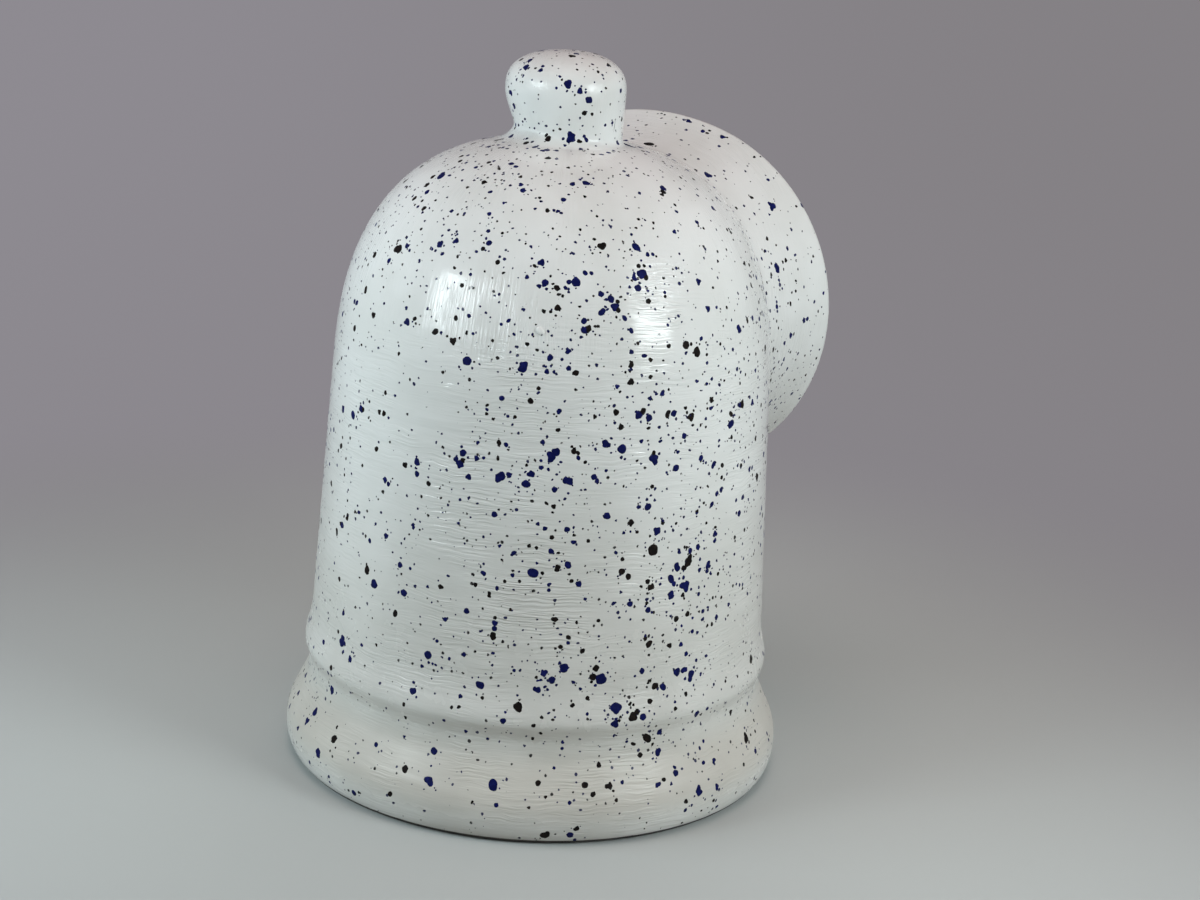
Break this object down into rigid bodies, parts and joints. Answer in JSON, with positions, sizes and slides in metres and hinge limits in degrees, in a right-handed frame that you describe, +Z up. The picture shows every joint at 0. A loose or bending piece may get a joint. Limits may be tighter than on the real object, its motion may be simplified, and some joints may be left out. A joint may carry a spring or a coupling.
{
  "type": "salt pig",
  "caption": "Dome-topped glazed ceramic salt pig with a knob on its crown, a flared foot and a wide flared round mouth on its front.",
  "frame": {"origin": "centre of the resting face, on the body's axis", "axes": "+Z up along the body's axis to the knob; the mouth faces -Y and is tilted a little upwards; the part is mirrored about the plane X = 0"},
  "size_m": [0.131, 0.1388, 0.1845],
  "materials": {
    "glaze": "satin white brushed glaze spattered with navy and dark brown specks",
    "bare_clay": "matt fired clay, wiped clean of glaze where it stands"
  },
  "bodies": {
    "root": {"body_bell": "glaze", "floor_slab": "bare_clay", "floor_join_coil": "glaze", "mouth_collar": "glaze", "mouth_join_coil": "glaze", "knob": "glaze", "knob_join_coil": "glaze"}
  },
  "joints": []
}
